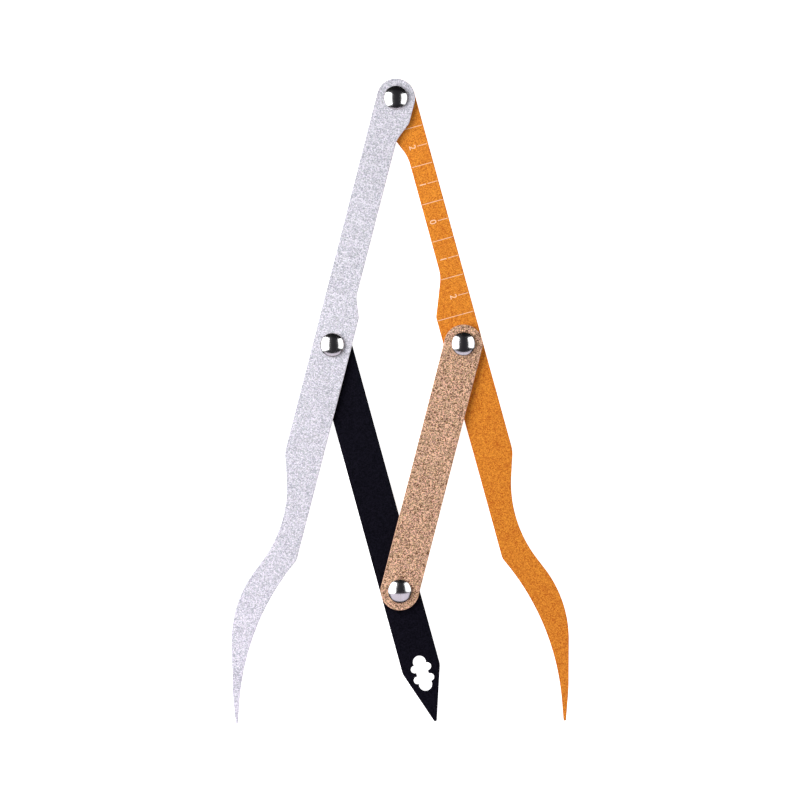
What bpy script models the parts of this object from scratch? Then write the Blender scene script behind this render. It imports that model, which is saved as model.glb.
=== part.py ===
"""Eyebrow mapping ruler: two bent outer arms, a straight middle arm and a short link, joined as a rhombus.

Four double-cap rivets join the plates. The middle arm and the link stay parallel to the outer arms, so the
three tips stay in one line, and the middle one divides it in a fixed ratio at every opening.

The tool lies face up on the flat crowns of its rear caps, at z = 0. The origin is on the main pivot's axis,
the arms run towards -Y, and +Z looks at the face that carries the scale.
"""

import math

import bmesh
import bpy
from mathutils import Matrix, Vector

MM = 0.001

# The linkage
PIVOT_PITCH = 66.0 * MM  # from each pivot to the next, round the rhombus
ARM_REACH = 167.0 * MM  # from the main pivot to the tip of an outer arm
REST_ANGLE = math.radians(29.8)  # between the two outer arms
MIDDLE_REACH = ARM_REACH - PIVOT_PITCH  # keeps the three tips in line

# The plates
PLATE_THICKNESS = 1.2 * MM
PLATE_WIDTH = 10.0 * MM
LAYER_GAP = 0.1 * MM  # between the rear plates and the front plates
EDGE_BREAK = 0.12 * MM  # chamfer round both faces
HALF_WIDTH = PLATE_WIDTH / 2

# The outer arms: a straight run, then a bent end that narrows to the tip
STRAIGHT_RUN = 96.0 * MM
BENT_RUN = ARM_REACH - STRAIGHT_RUN
# Corners along the bent run, across the width (positive is the inner side) and their radius by the width
OUTER_EDGE_SHARES = (
    (0.0, -0.5, 0.8),
    (0.245, 0.086, 3.2),
    (0.58, -0.88, 3.0),
    (0.89, -0.262, 5.0),
    (1.0, 0.02, 0.03),
)
INNER_EDGE_SHARES = ((1.0, 0.085, 0.03), (0.655, -0.375, 6.4), (0.368, 0.5, 0.25))

# The neck, a shallow recess in the inner edge below the main pivot
NECK_START = 5.5 * MM
NECK_END = 57.5 * MM
NECK_SLOPE_SHARE = 0.4  # rise by run of its two shoulders
NECK_CREST_RADIUS = 1.5 * MM
ORANGE_NECK_DEPTH = 4.0 * MM
ORANGE_NECK_RADIUS = 10.0 * MM
SILVER_NECK_DEPTH = 2.0 * MM
SILVER_NECK_RADIUS = 4.0 * MM

# The middle arm: a V-shaped tip with a lobed cut-out above it
MIDDLE_TAPER = 14.0 * MM
MIDDLE_SHOULDER_RADIUS = 3.0 * MM
MIDDLE_TIP_RADIUS = 0.35 * MM
MIDDLE_TIP_WIDTH = 0.6 * MM
CUTOUT_FROM_TIP = 12.9 * MM
CUTOUT_END_RADIUS = 1.7 * MM
CUTOUT_END_SPREAD = 2.97 * MM  # from the cut-out's middle to the centre of an end lobe
CUTOUT_SIDE_RADIUS = 1.0 * MM
CUTOUT_SIDE_ALONG = 1.45 * MM
CUTOUT_SIDE_ACROSS = 1.7 * MM
CUTOUT_BAR_WIDTH = 3.1 * MM

# The engraved scale of the two outer arms
SCALE_ZERO = 33.5 * MM  # from the main pivot
SCALE_STEP = 10.0 * MM
SCALE_REACH_STEPS = 2  # numbered steps on each side of zero
MARK_WIDTH = 0.2 * MM
MARK_MARGIN = 0.25 * MM  # from a mark's end to the edge of the plate
TICK_LENGTH = 2.7 * MM
DIGIT_HEIGHT = 1.7 * MM
DIGIT_FROM_EDGE = 4.2 * MM  # to the middle of the digit
ENGRAVING_DEPTH = 0.06 * MM

# The rivets
POST_RADIUS = 1.4 * MM
POST_BORE_RADIUS = 1.1 * MM
RUNNING_CLEARANCE = 0.05 * MM  # between a post and what turns or sits on it
SEAT_GAP = 0.04 * MM  # between stacked pieces of a rivet
STAMPING_THICKNESS = 0.25 * MM
FLANGE_RADIUS = 2.6 * MM
FLARE_RADIUS = 1.85 * MM
SOCKET_BARREL_RADIUS = 1.8 * MM
CAP_RADIUS = 3.1 * MM
CAP_SIDE_HEIGHT = 0.55 * MM
CAP_LIP_RADIUS = 2.35 * MM
CAP_EDGE_BREAK = 0.1 * MM
FRONT_CAP_HEIGHT = 1.7 * MM
REAR_CAP_HEIGHT = 1.1 * MM
REAR_CROWN_RADIUS = 1.6 * MM  # the flat that the tool lies on

# How finely round shapes are cut
OUTLINE_TOLERANCE = 0.015 * MM
TURNED_STEPS = 24
DOME_STEPS = 6
CUT_OVERRUN = 1.0 * MM
WELD_DISTANCE = 0.001 * MM

# Heights, from the surface that the tool lies on
REAR_PLATE_BOTTOM = REAR_CAP_HEIGHT + SEAT_GAP
REAR_PLATE_TOP = REAR_PLATE_BOTTOM + PLATE_THICKNESS
FRONT_PLATE_BOTTOM = REAR_PLATE_TOP + LAYER_GAP
FRONT_PLATE_TOP = FRONT_PLATE_BOTTOM + PLATE_THICKNESS

OBJECT_NAME = "eyebrow_mapping_ruler"


def clear_scene():
    """Removes every object of the scene."""
    for obj in list(bpy.data.objects):
        bpy.data.objects.remove(obj, do_unlink=True)


def new_collection(name, parent=None, hidden=False):
    """A collection in the scene or in a parent; a hidden one holds helpers that aren't part of the object."""
    collection = bpy.data.collections.new(name)
    collection.hide_render = hidden
    (parent or bpy.context.scene.collection).children.link(collection)
    return collection


def metal(name, colour, roughness):
    """A metallic material of one colour, given as linear RGB."""
    material = bpy.data.materials.new(name)
    material.use_nodes = True
    shader = material.node_tree.nodes["Principled BSDF"]
    shader.inputs["Base Color"].default_value = (*colour, 1.0)
    shader.inputs["Metallic"].default_value = 1.0
    shader.inputs["Roughness"].default_value = roughness
    return material


def arc_steps(radius, turn):
    """How many chords an arc needs to stay within the outline's tolerance."""
    half_chord = math.acos(max(0.0, 1.0 - OUTLINE_TOLERANCE / radius))
    return max(2, math.ceil(turn / (2.0 * half_chord)))


def filleted(corners):
    """The closed outline through corners (x, y, radius), each rounded by an arc of its radius."""
    points = []
    for index, (x, y, radius) in enumerate(corners):
        corner = Vector((x, y))
        to_last = (Vector(corners[index - 1][:2]) - corner).normalized()
        to_next = (Vector(corners[(index + 1) % len(corners)][:2]) - corner).normalized()
        half_angle = to_last.angle(to_next) / 2.0
        centre = corner + (to_last + to_next).normalized() * radius / math.sin(half_angle)
        arm = corner + to_last * radius / math.tan(half_angle) - centre
        turn = math.copysign(math.pi - 2.0 * half_angle, to_last.y * to_next.x - to_last.x * to_next.y)
        steps = arc_steps(radius, abs(turn))
        for step in range(steps + 1):
            angle = turn * step / steps
            point = centre + Matrix.Rotation(angle, 2) @ arm
            if not points or (point - points[-1]).length > WELD_DISTANCE:
                points.append(point)
    if (points[0] - points[-1]).length <= WELD_DISTANCE:
        points.pop()
    return points


def circle(x, y, radius):
    """A round outline, of as many sides as a turned piece has."""
    turns = [2.0 * math.pi * step / TURNED_STEPS for step in range(TURNED_STEPS)]
    return [Vector((x + radius * math.cos(turn), y + radius * math.sin(turn))) for turn in turns]


def mesh_from_curve(curve_object, collection, material):
    """Replaces a curve or text object by a mesh object of the same name and place, with its caps welded."""
    bpy.context.view_layer.update()
    name = curve_object.name
    graph = bpy.context.evaluated_depsgraph_get()
    mesh = bpy.data.meshes.new_from_object(curve_object.evaluated_get(graph))
    place = curve_object.matrix_world.copy()
    bpy.data.objects.remove(curve_object, do_unlink=True)
    cage = bmesh.new()
    cage.from_mesh(mesh)
    bmesh.ops.remove_doubles(cage, verts=cage.verts, dist=WELD_DISTANCE)
    bmesh.ops.recalc_face_normals(cage, faces=cage.faces)
    cage.to_mesh(mesh)
    cage.free()
    mesh.materials.clear()
    mesh.materials.append(material)
    mesh.name = name
    obj = bpy.data.objects.new(name, mesh)
    obj.matrix_world = place
    collection.objects.link(obj)
    return obj


def plate(name, outlines, collection, material):
    """A flat plate from its outline and the outlines of its holes, with both faces chamfered."""
    curve = bpy.data.curves.new(name, "CURVE")
    curve.dimensions = "2D"
    curve.fill_mode = "BOTH"
    curve.extrude = PLATE_THICKNESS / 2.0
    for outline in outlines:
        spline = curve.splines.new("POLY")
        spline.points.add(len(outline) - 1)
        spline.use_cyclic_u = True
        for point, place in zip(spline.points, outline):
            point.co = (place.x, place.y, 0.0, 1.0)
    guide = bpy.data.objects.new(name, curve)
    collection.objects.link(guide)
    obj = mesh_from_curve(guide, collection, material)
    bevel = obj.modifiers.new("EdgeBreak", "BEVEL")
    bevel.width = EDGE_BREAK
    bevel.segments = 1
    bevel.limit_method = "ANGLE"
    bevel.angle_limit = math.radians(50.0)
    bevel.use_clamp_overlap = False
    return obj


def pivot_holes(*distances):
    """The outlines of the pivot holes at these distances along an arm."""
    return [circle(0.0, -distance, POST_RADIUS + RUNNING_CLEARANCE) for distance in distances]


def neck_floor(depth):
    """Where the neck's floor starts and ends along the arm, and how far in from the centre line it lies."""
    run = depth / NECK_SLOPE_SHARE
    return NECK_START + run, NECK_END - run, HALF_WIDTH - depth


def outer_arm_outline(inner_side, neck_depth, neck_radius):
    """An outer arm, from its round end down the outer edge to the tip and back up the inner edge.

    inner_side is +1 where the arm's inner edge faces +X, and -1 where it faces -X.
    """
    floor_start, floor_end, floor_across = neck_floor(neck_depth)
    outer = [
        (STRAIGHT_RUN + BENT_RUN * along, PLATE_WIDTH * across, PLATE_WIDTH * radius)
        for along, across, radius in OUTER_EDGE_SHARES
    ]
    inner = [
        (STRAIGHT_RUN + BENT_RUN * along, PLATE_WIDTH * across, PLATE_WIDTH * radius)
        for along, across, radius in INNER_EDGE_SHARES
    ]
    neck = [
        (NECK_END, HALF_WIDTH, NECK_CREST_RADIUS),
        (floor_end, floor_across, neck_radius),
        (floor_start, floor_across, neck_radius),
        (NECK_START, HALF_WIDTH, NECK_CREST_RADIUS),
    ]
    round_end = [(-HALF_WIDTH, HALF_WIDTH, HALF_WIDTH), (-HALF_WIDTH, -HALF_WIDTH, HALF_WIDTH)]
    return filleted(
        [(inner_side * across, -along, radius) for along, across, radius in outer + inner + neck + round_end]
    )


def middle_arm_outline():
    """The straight middle arm with its V-shaped tip."""
    half_tip = MIDDLE_TIP_WIDTH / 2.0
    shoulder = MIDDLE_REACH - MIDDLE_TAPER
    return filleted(
        [
            (-HALF_WIDTH, HALF_WIDTH, HALF_WIDTH),
            (-HALF_WIDTH, -shoulder, MIDDLE_SHOULDER_RADIUS),
            (-half_tip, -MIDDLE_REACH, MIDDLE_TIP_RADIUS),
            (half_tip, -MIDDLE_REACH, MIDDLE_TIP_RADIUS),
            (HALF_WIDTH, -shoulder, MIDDLE_SHOULDER_RADIUS),
            (HALF_WIDTH, HALF_WIDTH, HALF_WIDTH),
        ]
    )


def link_outline():
    """The short link, round at both ends."""
    return filleted(
        [
            (-HALF_WIDTH, HALF_WIDTH, HALF_WIDTH),
            (-HALF_WIDTH, -PIVOT_PITCH - HALF_WIDTH, HALF_WIDTH),
            (HALF_WIDTH, -PIVOT_PITCH - HALF_WIDTH, HALF_WIDTH),
            (HALF_WIDTH, HALF_WIDTH, HALF_WIDTH),
        ]
    )


def box(name, size, centre, collection):
    """A box of this size about this centre, for cutting."""
    mesh = bpy.data.meshes.new(name)
    cage = bmesh.new()
    bmesh.ops.create_cube(cage, size=1.0, matrix=Matrix.Translation(centre) @ Matrix.Diagonal((*size, 1.0)))
    cage.to_mesh(mesh)
    cage.free()
    cutter(bpy.data.objects.new(name, mesh), collection)


def cylinder(name, radius, depth, centre, collection):
    """A cylinder along Z about this centre, for cutting."""
    mesh = bpy.data.meshes.new(name)
    cage = bmesh.new()
    bmesh.ops.create_cone(
        cage,
        cap_ends=True,
        segments=TURNED_STEPS,
        radius1=radius,
        radius2=radius,
        depth=depth,
        matrix=Matrix.Translation(centre),
    )
    cage.to_mesh(mesh)
    cage.free()
    cutter(bpy.data.objects.new(name, mesh), collection)


def cutter(obj, collection):
    """Marks an object as a cutter and links it to its collection."""
    obj.hide_render = True
    obj.display_type = "WIRE"
    if obj.name not in collection.objects:
        collection.objects.link(obj)


def cut(obj, cutters, solver):
    """Takes each cutter of a collection out of the object; the cutters move with it."""
    for tool in cutters.objects:
        tool.parent = obj
        difference = obj.modifiers.new(tool.name, "BOOLEAN")
        difference.operation = "DIFFERENCE"
        difference.object = tool
        difference.solver = solver


def add_ornament_cutters(collection):
    """The lobed cut-out of the middle arm: two end lobes, four side lobes and the bar between them."""
    middle = CUTOUT_FROM_TIP - MIDDLE_REACH
    depth = PLATE_THICKNESS + 2.0 * CUT_OVERRUN
    bar_size = (CUTOUT_BAR_WIDTH, 2.0 * CUTOUT_END_SPREAD, depth)
    box("cutout_bar", bar_size, (0.0, middle, 0.0), collection)
    for end in (-1, 1):
        centre = (0.0, middle + end * CUTOUT_END_SPREAD, 0.0)
        cylinder("cutout_end", CUTOUT_END_RADIUS, depth, centre, collection)
        for side in (-1, 1):
            centre = (side * CUTOUT_SIDE_ACROSS, middle + end * CUTOUT_SIDE_ALONG, 0.0)
            cylinder("cutout_side", CUTOUT_SIDE_RADIUS, depth, centre, collection)


def inner_edge_across(along, neck_depth):
    """How far an outer arm's inner edge lies from its centre line, this far from the main pivot."""
    _, _, floor_across = neck_floor(neck_depth)
    past_shoulder = max(NECK_START - along, along - NECK_END)
    return min(HALF_WIDTH, max(floor_across, HALF_WIDTH + past_shoulder * NECK_SLOPE_SHARE))


def scale_mark_cutter(name, outer_side, along, inner_across, collection):
    """A groove from the outer edge's margin to inner_across, which is positive on the inner side."""
    length = HALF_WIDTH - MARK_MARGIN + inner_across
    middle = outer_side * (HALF_WIDTH - MARK_MARGIN - inner_across) / 2.0
    size = (length, MARK_WIDTH, 2.0 * ENGRAVING_DEPTH)
    box(name, size, (middle, -along, PLATE_THICKNESS / 2.0), collection)


def digit_cutter(name, outer_side, digit, along, collection, material):
    """One engraved digit, its top towards the outer edge."""
    text = bpy.data.curves.new(name, "FONT")
    text.body = str(digit)
    text.align_x = "CENTER"
    text.align_y = "CENTER"
    text.resolution_u = 2
    text.size = DIGIT_HEIGHT
    text.extrude = ENGRAVING_DEPTH
    guide = bpy.data.objects.new(name, text)
    collection.objects.link(guide)
    obj = mesh_from_curve(guide, collection, material)
    low = [min(vertex.co[axis] for vertex in obj.data.vertices) for axis in range(2)]
    high = [max(vertex.co[axis] for vertex in obj.data.vertices) for axis in range(2)]
    centre = Vector((-(low[0] + high[0]) / 2.0, -(low[1] + high[1]) / 2.0, 0.0))
    growth = DIGIT_HEIGHT / (high[1] - low[1])
    place = Vector((outer_side * (HALF_WIDTH - DIGIT_FROM_EDGE), -along, PLATE_THICKNESS / 2.0))
    obj.data.transform(
        Matrix.Translation(place)
        @ Matrix.Rotation(-outer_side * math.pi / 2.0, 4, "Z")
        @ Matrix.Diagonal((growth, growth, 1.0, 1.0))
        @ Matrix.Translation(centre)
    )
    cutter(obj, collection)


def add_scale_cutters(arm, outer_side, neck_depth, collection, material):
    """An outer arm's scale: a numbered tick at each step, and a long mark half a step to each side of it.

    outer_side is +1 where the arm's outer edge faces +X, and -1 where it faces -X.
    """
    for step in range(-SCALE_REACH_STEPS, SCALE_REACH_STEPS + 1):
        along = SCALE_ZERO + step * SCALE_STEP
        number = step + SCALE_REACH_STEPS + 1
        tick_end = TICK_LENGTH + MARK_MARGIN - HALF_WIDTH
        scale_mark_cutter(f"{arm}_tick_{number}", outer_side, along, tick_end, collection)
        digit_cutter(f"{arm}_digit_{number}", outer_side, abs(step), along, collection, material)
    for half_step in range(2 * SCALE_REACH_STEPS + 2):
        along = SCALE_ZERO + (half_step - SCALE_REACH_STEPS - 0.5) * SCALE_STEP
        line_end = inner_edge_across(along, neck_depth) - MARK_MARGIN
        scale_mark_cutter(f"{arm}_line_{half_step + 1}", outer_side, along, line_end, collection)


def turned(name, profile, closed, collection, material):
    """A turned piece from its profile (radius, height), which runs down its outer side."""
    mesh = bpy.data.meshes.new(name)
    edges = [(index, index + 1) for index in range(len(profile) - 1)]
    if closed:
        edges.append((len(profile) - 1, 0))
    mesh.from_pydata([(radius, 0.0, height) for radius, height in profile], edges, [])
    mesh.materials.append(material)
    obj = bpy.data.objects.new(name, mesh)
    screw = obj.modifiers.new("Turn", "SCREW")
    screw.axis = "Z"
    screw.angle = 2.0 * math.pi
    screw.steps = TURNED_STEPS
    screw.render_steps = TURNED_STEPS
    screw.use_merge_vertices = True
    screw.merge_threshold = WELD_DISTANCE
    screw.use_smooth_shade = True
    collection.objects.link(obj)
    return obj


def cap_profile(height, crown_radius):
    """A cap's stamped shell over its base at z = 0: the crown, the side, and the lip crimped under the edge."""
    rise = height - CAP_SIDE_HEIGHT
    reach = CAP_RADIUS - crown_radius
    curve_radius = (reach**2 + rise**2) / (2.0 * rise)
    curve_centre = height - curve_radius
    inner_radius = curve_radius - STAMPING_THICKNESS
    cavity_radius = CAP_RADIUS - STAMPING_THICKNESS
    outer_turn = math.asin(reach / curve_radius)
    inner_turn = math.asin((cavity_radius - crown_radius) / inner_radius)

    def arc(radius, turn):
        angles = [turn * step / DOME_STEPS for step in range(DOME_STEPS + 1)]
        return [(crown_radius + radius * math.sin(a), curve_centre + radius * math.cos(a)) for a in angles]

    outer = arc(curve_radius, outer_turn)
    inner = arc(inner_radius, inner_turn)
    lip = [
        (CAP_RADIUS, CAP_EDGE_BREAK),
        (CAP_RADIUS - CAP_EDGE_BREAK, 0.0),
        (CAP_LIP_RADIUS, 0.0),
        (CAP_LIP_RADIUS, STAMPING_THICKNESS),
        (cavity_radius, STAMPING_THICKNESS),
    ]
    profile = outer + lip + inner[::-1]
    if crown_radius > 0.0:
        profile = [(0.0, height)] + profile + [(0.0, height - STAMPING_THICKNESS)]
    return profile


def socket_profile():
    """The eyelet that stands on the front plate inside the front cap, its flange over the cap's lip."""
    flange_bottom = STAMPING_THICKNESS + SEAT_GAP
    flange_top = flange_bottom + STAMPING_THICKNESS
    bore_radius = POST_RADIUS + RUNNING_CLEARANCE
    return [
        (bore_radius, flange_top),
        (FLANGE_RADIUS, flange_top),
        (FLANGE_RADIUS, flange_bottom),
        (SOCKET_BARREL_RADIUS, flange_bottom),
        (SOCKET_BARREL_RADIUS, 0.0),
        (bore_radius, 0.0),
    ]


def post_profile():
    """The hollow axle, from its base flange over the rear cap's lip to its flared end over the socket."""
    flange_top = REAR_PLATE_BOTTOM - 2.0 * SEAT_GAP - STAMPING_THICKNESS
    flange_bottom = flange_top - STAMPING_THICKNESS
    flare_bottom = FRONT_PLATE_TOP + 3.0 * SEAT_GAP + 2.0 * STAMPING_THICKNESS
    flare_top = flare_bottom + STAMPING_THICKNESS
    return [
        (POST_BORE_RADIUS, flare_top),
        (FLARE_RADIUS, flare_top),
        (FLARE_RADIUS, flare_bottom),
        (POST_RADIUS, flare_bottom),
        (POST_RADIUS, flange_top),
        (FLANGE_RADIUS, flange_top),
        (FLANGE_RADIUS, flange_bottom),
        (POST_BORE_RADIUS, flange_bottom),
    ]


def rivet(name, body, distance, collection, chrome, steel):
    """The four stampings of one rivet, held by a body at this distance along its arm."""
    front_cap = turned(f"{name}_front_cap", cap_profile(FRONT_CAP_HEIGHT, 0.0), False, collection, chrome)
    rear_profile = cap_profile(REAR_CAP_HEIGHT, REAR_CROWN_RADIUS)
    rear_cap = turned(f"{name}_rear_cap", rear_profile, False, collection, chrome)
    rear_cap.rotation_euler.x = math.pi
    socket = turned(f"{name}_socket", socket_profile(), True, collection, steel)
    post = turned(f"{name}_post", post_profile(), True, collection, steel)
    heights = {
        front_cap: FRONT_PLATE_TOP + SEAT_GAP,
        rear_cap: REAR_CAP_HEIGHT,
        socket: FRONT_PLATE_TOP + SEAT_GAP,
        post: 0.0,
    }
    for piece, height in heights.items():
        piece.parent = body
        piece.location = (0.0, -distance, height)


def body_empty(name, parent, distance, turn, collection):
    """The empty that carries one moving body, on its pivot's axis and turned to its rest angle."""
    empty = bpy.data.objects.new(name, None)
    empty.empty_display_size = PLATE_WIDTH
    empty.parent = parent
    empty.location = (0.0, -distance, 0.0)
    empty.rotation_euler.z = turn
    collection.objects.link(empty)
    return empty


def build():
    """Builds the whole ruler at rest."""
    clear_scene()
    parts = new_collection(OBJECT_NAME)
    cutters = new_collection("cutters", hidden=True)
    silver = metal("silver_anodised", (0.72, 0.71, 0.78), 0.35)
    orange = metal("orange_anodised", (0.72, 0.23, 0.02), 0.35)
    black = metal("black_anodised", (0.006, 0.005, 0.009), 0.5)
    rose = metal("rose_gold_anodised", (0.62, 0.36, 0.24), 0.35)
    chrome = metal("chrome_plate", (0.8, 0.8, 0.82), 0.06)
    steel = metal("nickel_plated_steel", (0.6, 0.59, 0.56), 0.3)

    half_turn = REST_ANGLE / 2.0
    orange_body = body_empty("orange_body", None, 0.0, half_turn, parts)
    silver_body = body_empty("silver_body", orange_body, 0.0, -REST_ANGLE, parts)
    black_body = body_empty("black_body", silver_body, PIVOT_PITCH, REST_ANGLE, parts)
    rose_body = body_empty("rose_body", orange_body, PIVOT_PITCH, -REST_ANGLE, parts)

    rear_middle = (REAR_PLATE_BOTTOM + REAR_PLATE_TOP) / 2.0
    front_middle = (FRONT_PLATE_BOTTOM + FRONT_PLATE_TOP) / 2.0
    orange_outline = outer_arm_outline(-1, ORANGE_NECK_DEPTH, ORANGE_NECK_RADIUS)
    orange_arm = plate("orange_arm", [orange_outline, *pivot_holes(0.0, PIVOT_PITCH)], parts, orange)
    silver_outline = outer_arm_outline(1, SILVER_NECK_DEPTH, SILVER_NECK_RADIUS)
    silver_arm = plate("silver_arm", [silver_outline, *pivot_holes(0.0, PIVOT_PITCH)], parts, silver)
    black_holes = pivot_holes(0.0, PIVOT_PITCH)
    black_arm = plate("black_arm", [middle_arm_outline(), *black_holes], parts, black)
    rose_link = plate("rose_link", [link_outline(), *pivot_holes(0.0, PIVOT_PITCH)], parts, rose)
    for obj, body, height in (
        (orange_arm, orange_body, rear_middle),
        (silver_arm, silver_body, front_middle),
        (black_arm, black_body, rear_middle),
        (rose_link, rose_body, front_middle),
    ):
        obj.parent = body
        obj.location.z = height
    ornament = new_collection("ornament_cutters", cutters, hidden=True)
    add_ornament_cutters(ornament)
    cut(black_arm, ornament, "EXACT")
    for obj, outer_side, neck_depth, material in (
        (orange_arm, 1, ORANGE_NECK_DEPTH, orange),
        (silver_arm, -1, SILVER_NECK_DEPTH, silver),
    ):
        engraving = new_collection(f"{obj.name}_engraving", cutters, hidden=True)
        add_scale_cutters(obj.name, outer_side, neck_depth, engraving, material)
        # The exact solver leaves holes round grooves as fine as these
        cut(obj, engraving, "MANIFOLD")

    rivet("main_pivot", orange_body, 0.0, parts, chrome, steel)
    rivet("left_pivot", silver_body, PIVOT_PITCH, parts, chrome, steel)
    rivet("right_pivot", orange_body, PIVOT_PITCH, parts, chrome, steel)
    rivet("lower_pivot", rose_body, PIVOT_PITCH, parts, chrome, steel)


build()
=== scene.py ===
"""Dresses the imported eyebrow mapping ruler: blasted and anodised plates, an engraved scale, chrome rivets.

Every length is in metres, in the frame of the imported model. +Z looks at the face with the scale, the arms
run towards -Y, and the origin is on the main pivot's axis, on the surface that the tool lies on.
"""

import logging
import math
from collections.abc import Iterable, Mapping, Sequence
from dataclasses import dataclass, field
from enum import Enum

import bmesh
import bpy
from mathutils import Matrix, Vector
from mathutils.geometry import delaunay_2d_cdt, intersect_line_line_2d


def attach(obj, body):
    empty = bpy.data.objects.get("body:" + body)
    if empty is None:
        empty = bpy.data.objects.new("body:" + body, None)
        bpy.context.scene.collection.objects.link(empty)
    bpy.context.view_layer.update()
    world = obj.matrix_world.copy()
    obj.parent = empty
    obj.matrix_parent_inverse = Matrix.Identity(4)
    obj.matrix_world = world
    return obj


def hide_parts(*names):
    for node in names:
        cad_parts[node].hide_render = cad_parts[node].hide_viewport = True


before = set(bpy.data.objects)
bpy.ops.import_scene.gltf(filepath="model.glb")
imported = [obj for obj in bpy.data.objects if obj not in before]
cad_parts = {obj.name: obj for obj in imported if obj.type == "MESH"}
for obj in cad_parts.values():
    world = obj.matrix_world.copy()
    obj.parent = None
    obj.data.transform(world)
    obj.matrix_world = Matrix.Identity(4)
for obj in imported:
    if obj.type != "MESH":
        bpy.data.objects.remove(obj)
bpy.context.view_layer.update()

LOG = logging.getLogger("ruler")
MM = 0.001
WEAR_ATTRIBUTE = "edge_wear"
LENGTH_ATTRIBUTE = "mark_length"
DIGIT_ATTRIBUTE = "digit"
# Points closer than this are one
WELD = 0.0005 * MM
# The kind of triangulation that keeps to the inside of its outlines
INSIDE_ONLY = 1
# A Mix node's sockets for colours: the share, the two colours, and the result
MIX_INPUTS, MIX_OUTPUT = (0, 6, 7), 2

Cage = bmesh.types.BMesh
Mesh = bpy.types.Mesh
Object = bpy.types.Object
Ring = list[bmesh.types.BMVert]
Socket = bpy.types.NodeSocket
Tree = bpy.types.NodeTree
Pair = tuple[float, float]
Triple = tuple[float, float, float]
Outline = list[Vector]


class Body(Enum):
    """The four moving bodies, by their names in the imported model."""

    ORANGE = "orange_arm"
    SILVER = "silver_arm"
    BLACK = "black_arm"
    ROSE = "rose_link"


class Layer(Enum):
    """The two layers of plates."""

    REAR = 0
    FRONT = 1


class Side(Enum):
    """The side of its centre line that an outer arm's inner edge lies on."""

    LEFT = -1
    RIGHT = 1


class Slot(Enum):
    """The record's material slots, listed with each plate."""

    SILVER = "silver_anodised"
    ORANGE = "orange_anodised"
    BLACK = "black_anodised"
    ROSE = "rose_gold_anodised"
    CHROME = "chrome_plate"


# Nodes


def linear(colour: str) -> tuple[float, float, float, float]:
    """Turns an sRGB hex colour into linear values.

    Args:
        colour: six hex digits, with or without a leading #.

    Returns:
        Linear red, green, blue and an alpha of one.
    """
    digits = colour.lstrip("#")
    channels = [int(digits[start : start + 2], 16) / 255 for start in (0, 2, 4)]
    # The sRGB curve has a straight foot and then a power
    red, green, blue = [c / 12.92 if c <= 0.04045 else ((c + 0.055) / 1.055) ** 2.4 for c in channels]
    return red, green, blue, 1.0


def add_node(tree: Tree, kind: str, inputs: Mapping | None = None, **settings: object) -> bpy.types.Node:
    """Adds a node with its settings and what goes into it.

    Args:
        tree: the node tree.
        kind: the node's type.
        inputs: for each socket, by name or number, a value or the socket that links to it.
        settings: values of the node's own properties.

    Returns:
        The new node.
    """
    node = tree.nodes.new(kind)
    for name, value in settings.items():
        setattr(node, name, value)
    for key, value in (inputs or {}).items():
        if isinstance(value, Socket):
            tree.links.new(value, node.inputs[key])
        else:
            node.inputs[key].default_value = value
    return node


def noise(tree: Tree, place: Socket, scale: float, detail: float = 2.0, output: str = "Fac") -> Socket:
    """Adds a noise texture with so many bumps to the metre, and returns the named output."""
    inputs = {"Vector": place, "Scale": scale, "Detail": detail}
    return add_node(tree, "ShaderNodeTexNoise", inputs).outputs[output]


def computed(tree: Tree, operation: str, *values: object, kind: str = "ShaderNodeMath") -> Socket:
    """Adds a node that works something out from values or sockets, and returns its result."""
    return add_node(tree, kind, dict(enumerate(values)), operation=operation).outputs[0]


def ranged(
    tree: Tree, value: Socket, span: Pair = (0.0, 1.0), onto: Pair = (0.0, 1.0), **settings: object
) -> Socket:
    """Maps a span of values onto another, and what lies beyond the first onto the ends of the second."""
    inputs = dict(zip(("Value", "From Min", "From Max", "To Min", "To Max"), (value, *span, *onto)))
    return add_node(tree, "ShaderNodeMapRange", inputs, **settings).outputs["Result"]


def mixed(tree: Tree, share: object, first: object, second: object, blend: str = "MIX") -> Socket:
    """Mixes a share of the second colour into the first, and returns the mixed colour."""
    inputs = dict(zip(MIX_INPUTS, (share, first, second)))
    return add_node(tree, "ShaderNodeMix", inputs, data_type="RGBA", blend_type=blend).outputs[MIX_OUTPUT]


def bumped(tree: Tree, height: Socket, depth: float, strength: float) -> Socket:
    """Turns a height into a bump of that depth and strength, and returns its normal."""
    inputs = {"Strength": strength, "Distance": depth, "Height": height}
    return add_node(tree, "ShaderNodeBump", inputs).outputs["Normal"]


def film_wear(tree: Tree) -> Socket:
    """Reads how much of the film or plating is worn off, which is none where the mesh doesn't say."""
    return add_node(tree, "ShaderNodeAttribute", attribute_name=WEAR_ATTRIBUTE).outputs["Fac"]


def new_tree(name: str, inputs: Mapping[str, str], output: str) -> tuple[Tree, bpy.types.NodeOutputs]:
    """Makes a geometry node tree with its inputs and output.

    Args:
        name: the tree's name.
        inputs: each input's name and kind of socket.
        output: the name of the geometry that it gives.

    Returns:
        The tree and the sockets of its inputs.
    """
    tree = bpy.data.node_groups.new(name, "GeometryNodeTree")
    for socket, kind in inputs.items():
        tree.interface.new_socket(socket, in_out="INPUT", socket_type=f"NodeSocket{kind}")
    tree.interface.new_socket(output, in_out="OUTPUT", socket_type="NodeSocketGeometry")
    return tree, add_node(tree, "NodeGroupInput").outputs


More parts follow.
